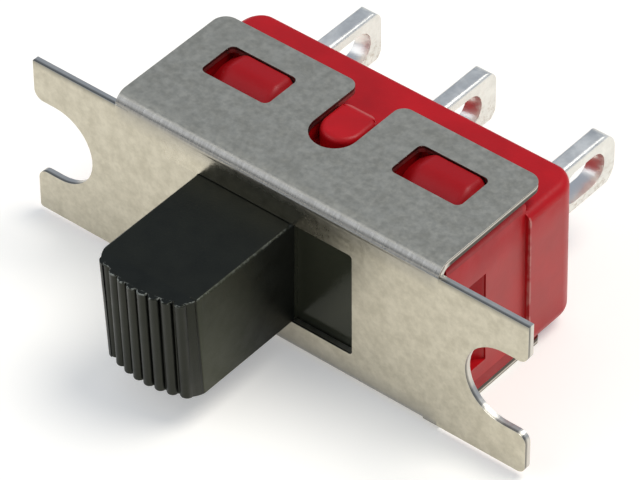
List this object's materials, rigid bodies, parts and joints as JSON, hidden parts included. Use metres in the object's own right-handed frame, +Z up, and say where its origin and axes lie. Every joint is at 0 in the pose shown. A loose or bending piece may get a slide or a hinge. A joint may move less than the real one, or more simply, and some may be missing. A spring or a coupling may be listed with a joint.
{
  "type": "slide switch",
  "caption": "Panel slide switch: folded sheet bracket with notched ears, ribbed thumb knob, red moulded case and flat solder terminals in a row.",
  "frame": {"origin": "middle of the bracket's width and height, on the face of the front plate that seats against the panel", "axes": "+X along the bracket and the slide's travel, +Y from the panel face to the terminals, +Z up from the side plate it rests on"},
  "size_m": [0.0196, 0.0159, 0.0066],
  "materials": {
    "bracket_metal": "semi-bright plated sheet steel",
    "slide_plastic": "black moulded plastic, satin",
    "case_plastic": "red moulded plastic, satin",
    "terminal_metal": "silver-plated brass, satin",
    "plunger_plastic": "natural moulded plastic",
    "spring_steel": "bright spring wire"
  },
  "bodies": {
    "switch_body": {"bracket": "bracket_metal", "case": "case_plastic", "terminal_left": "terminal_metal", "terminal_centre": "terminal_metal", "terminal_right": "terminal_metal"},
    "slide": {"slide": "slide_plastic", "contact_spring": "spring_steel"},
    "rocker": {"rocker_contact": "terminal_metal"},
    "plunger": {"contact_plunger": "plunger_plastic"}
  },
  "joints": [
    {"name": "slide_travel", "type": "slide", "parent": "switch_body", "child": "slide", "axis": [1, 0, 0], "range_m": [0, 0.0023]},
    {"name": "rocker_tip", "type": "hinge", "parent": "switch_body", "child": "rocker", "pos_m": [0, 0.004, 0], "axis": [0, 0, 1], "range_deg": [0, 11]},
    {"name": "plunger_press", "type": "slide", "parent": "slide", "child": "plunger", "axis": [0, 1, 0], "range_m": [0, 0.00014], "stiffness_N_per_m": 300, "deforming": ["contact_spring"]}
  ],
  "couplings": [
    {"joint": "rocker_tip", "follows": "slide_travel", "rad_per_m": 83.4}
  ]
}
